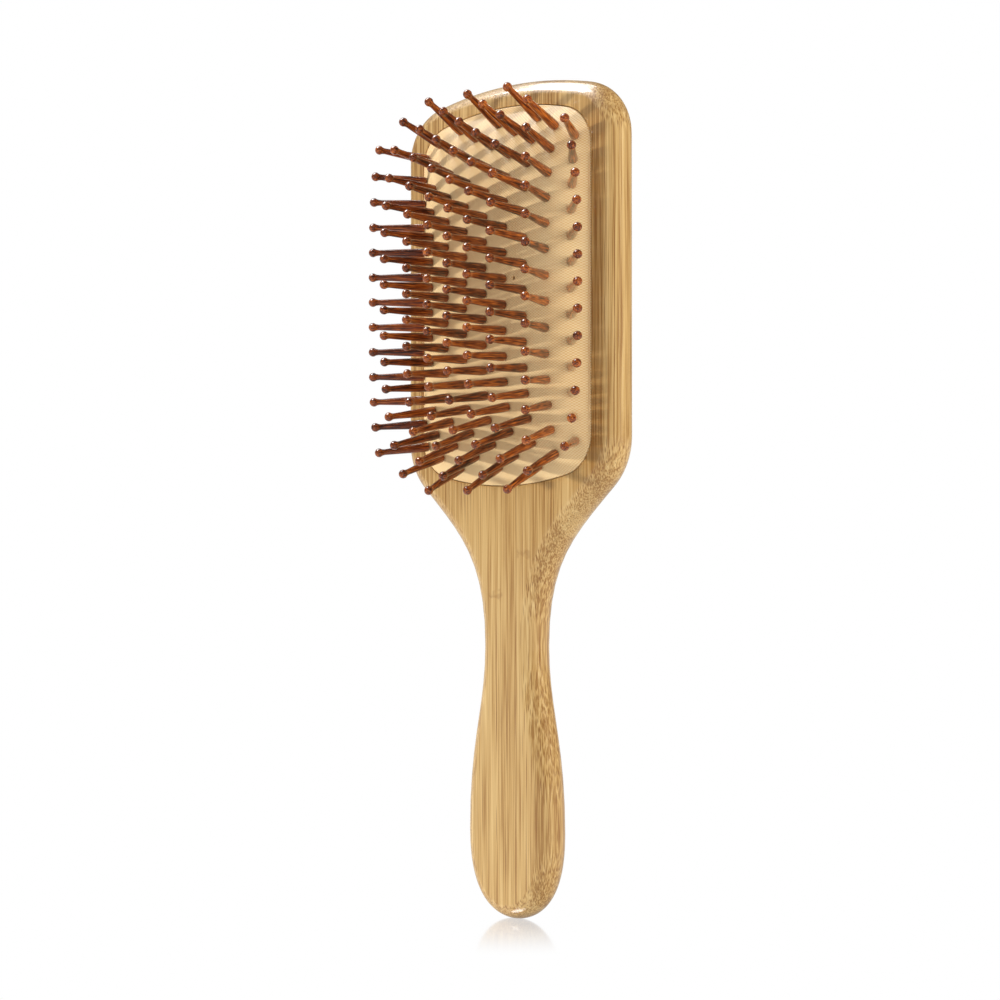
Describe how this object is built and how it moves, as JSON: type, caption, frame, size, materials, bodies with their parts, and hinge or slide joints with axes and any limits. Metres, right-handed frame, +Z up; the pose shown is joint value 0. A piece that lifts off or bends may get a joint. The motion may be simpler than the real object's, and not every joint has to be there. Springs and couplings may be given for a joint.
{
  "type": "paddle brush",
  "caption": "Upright flat hair brush: one-piece bamboo board and handle, domed rubber air cushion let into the face, staggered ball-tipped wooden pins.",
  "frame": {"origin": "middle of the handle's width and thickness where a hand holds it, 50 mm above the handle end", "axes": "+Z up the handle to the head, -Y the way the pins point, +Y out of the flat back, +X to the right seen from the pins' side"},
  "size_m": [0.083, 0.0371, 0.245],
  "materials": {
    "varnished_bamboo": "laminated bamboo, sanded round and clear varnished, satin to gloss",
    "cream_rubber": "cream rubber with a fine moulded dot texture, matt",
    "carbonised_pin_wood": "reddish-brown carbonised wood, turned and lacquered, gloss"
  },
  "bodies": {
    "board": {"paddle_body": "varnished_bamboo"},
    "cushion": {"air_cushion": "cream_rubber"},
    "column_1": {"pins_column_1": "carbonised_pin_wood"},
    "column_2": {"pins_column_2": "carbonised_pin_wood"},
    "column_3": {"pins_column_3": "carbonised_pin_wood"},
    "column_4": {"pins_column_4": "carbonised_pin_wood"},
    "column_5": {"pins_column_5": "carbonised_pin_wood"},
    "column_6": {"pins_column_6": "carbonised_pin_wood"},
    "column_7": {"pins_column_7": "carbonised_pin_wood"},
    "column_8": {"pins_column_8": "carbonised_pin_wood"},
    "column_9": {"pins_column_9": "carbonised_pin_wood"}
  },
  "joints": [
    {"name": "cushion_press", "type": "slide", "parent": "board", "child": "cushion", "axis": [0, 1, 0], "range_m": [0, 0.002], "stiffness_N_per_m": 4000, "deforming": ["air_cushion"]},
    {"name": "column_1_lean", "type": "hinge", "parent": "cushion", "child": "column_1", "pos_m": [-0.0287, -0.00947, 0.132], "axis": [0, 0, 1], "range_deg": [-12, 12], "stiffness_Nm_per_rad": 0.3},
    {"name": "column_2_lean", "type": "hinge", "parent": "cushion", "child": "column_2", "pos_m": [-0.02226, -0.0132, 0.132], "axis": [0, 0, 1], "range_deg": [-12, 12], "stiffness_Nm_per_rad": 0.3},
    {"name": "column_3_lean", "type": "hinge", "parent": "cushion", "child": "column_3", "pos_m": [-0.01519, -0.01436, 0.132], "axis": [0, 0, 1], "range_deg": [-12, 12], "stiffness_Nm_per_rad": 0.3},
    {"name": "column_4_lean", "type": "hinge", "parent": "cushion", "child": "column_4", "pos_m": [-0.0077, -0.01455, 0.132], "axis": [0, 0, 1], "range_deg": [-12, 12], "stiffness_Nm_per_rad": 0.3},
    {"name": "column_5_lean", "type": "hinge", "parent": "cushion", "child": "column_5", "pos_m": [0, -0.01455, 0.132], "axis": [0, 0, 1], "range_deg": [-12, 12], "stiffness_Nm_per_rad": 0.3},
    {"name": "column_6_lean", "type": "hinge", "parent": "cushion", "child": "column_6", "pos_m": [0.0077, -0.01455, 0.132], "axis": [0, 0, 1], "range_deg": [-12, 12], "stiffness_Nm_per_rad": 0.3},
    {"name": "column_7_lean", "type": "hinge", "parent": "cushion", "child": "column_7", "pos_m": [0.01519, -0.01436, 0.132], "axis": [0, 0, 1], "range_deg": [-12, 12], "stiffness_Nm_per_rad": 0.3},
    {"name": "column_8_lean", "type": "hinge", "parent": "cushion", "child": "column_8", "pos_m": [0.02226, -0.0132, 0.132], "axis": [0, 0, 1], "range_deg": [-12, 12], "stiffness_Nm_per_rad": 0.3},
    {"name": "column_9_lean", "type": "hinge", "parent": "cushion", "child": "column_9", "pos_m": [0.0287, -0.00947, 0.132], "axis": [0, 0, 1], "range_deg": [-12, 12], "stiffness_Nm_per_rad": 0.3}
  ]
}
